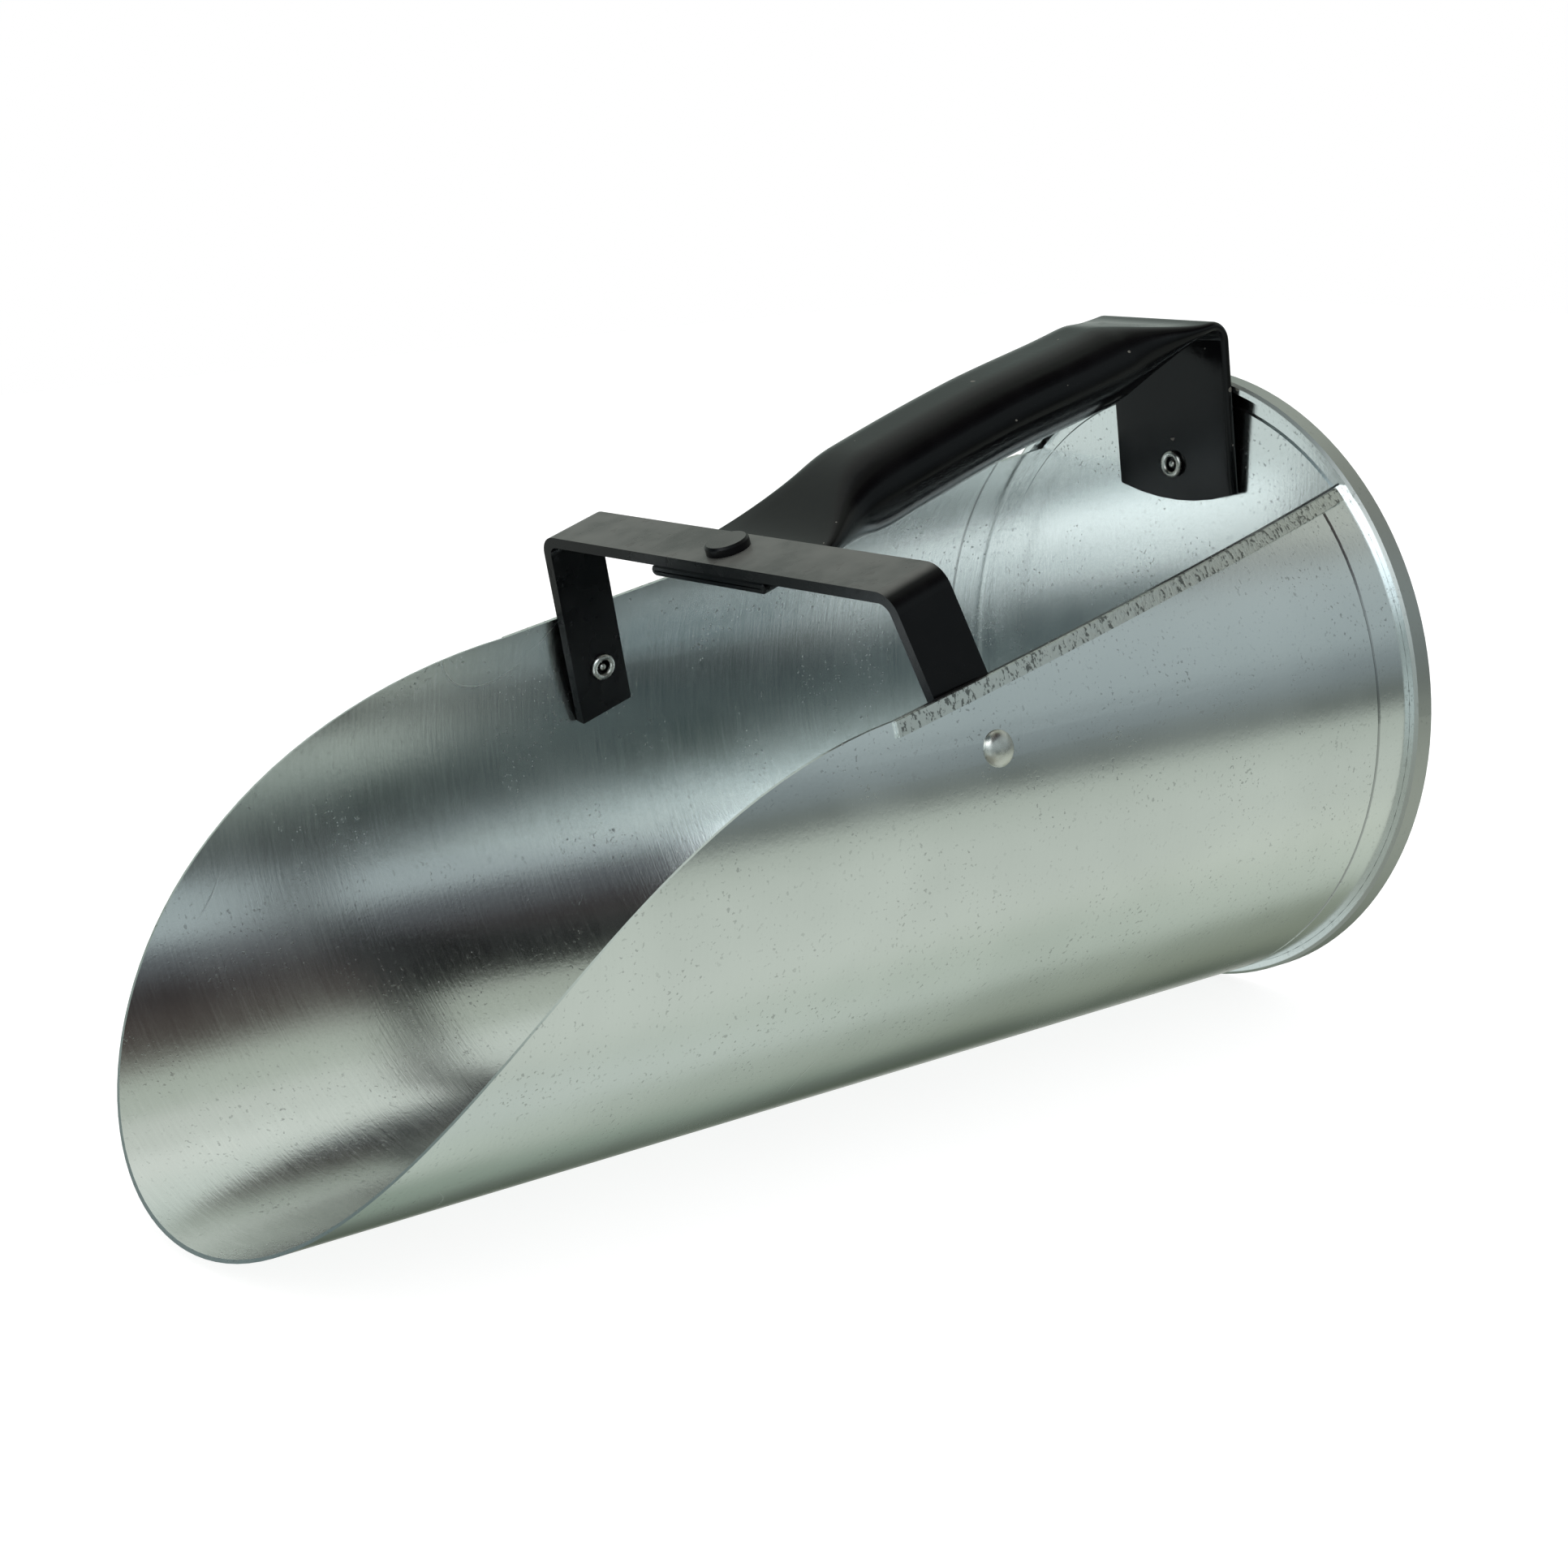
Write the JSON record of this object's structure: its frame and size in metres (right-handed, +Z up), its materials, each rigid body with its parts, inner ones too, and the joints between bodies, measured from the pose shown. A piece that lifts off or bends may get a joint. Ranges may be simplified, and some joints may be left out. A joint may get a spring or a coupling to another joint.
{
  "type": "feed scoop",
  "caption": "Galvanised sheet-metal feed scoop with a round seamed back, a curved open mouth and a riveted black tubular handle over a bridge strap.",
  "frame": {"origin": "on the surface it stands on, under the middle of its length and width", "axes": "+Z up, +Y from the mouth towards the closed back, X across the scoop"},
  "size_m": [0.144, 0.273, 0.1562],
  "materials": {
    "galvanised_sheet": "galvanised, satin",
    "galvanised_disc": "galvanised, satin",
    "black_bar": "black, satin",
    "black_grip": "black, gloss",
    "black_rivet": "black, satin",
    "zinc_rivet": "zinc plated"
  },
  "bodies": {
    "root": {"body_sheet": "galvanised_sheet", "back_disc": "galvanised_disc", "bridge_strap": "black_bar", "handle_tube": "black_grip", "front_rivet": "black_rivet", "side_rivet_left": "zinc_rivet", "side_rivet_right": "zinc_rivet", "rear_rivet": "zinc_rivet"}
  },
  "joints": []
}
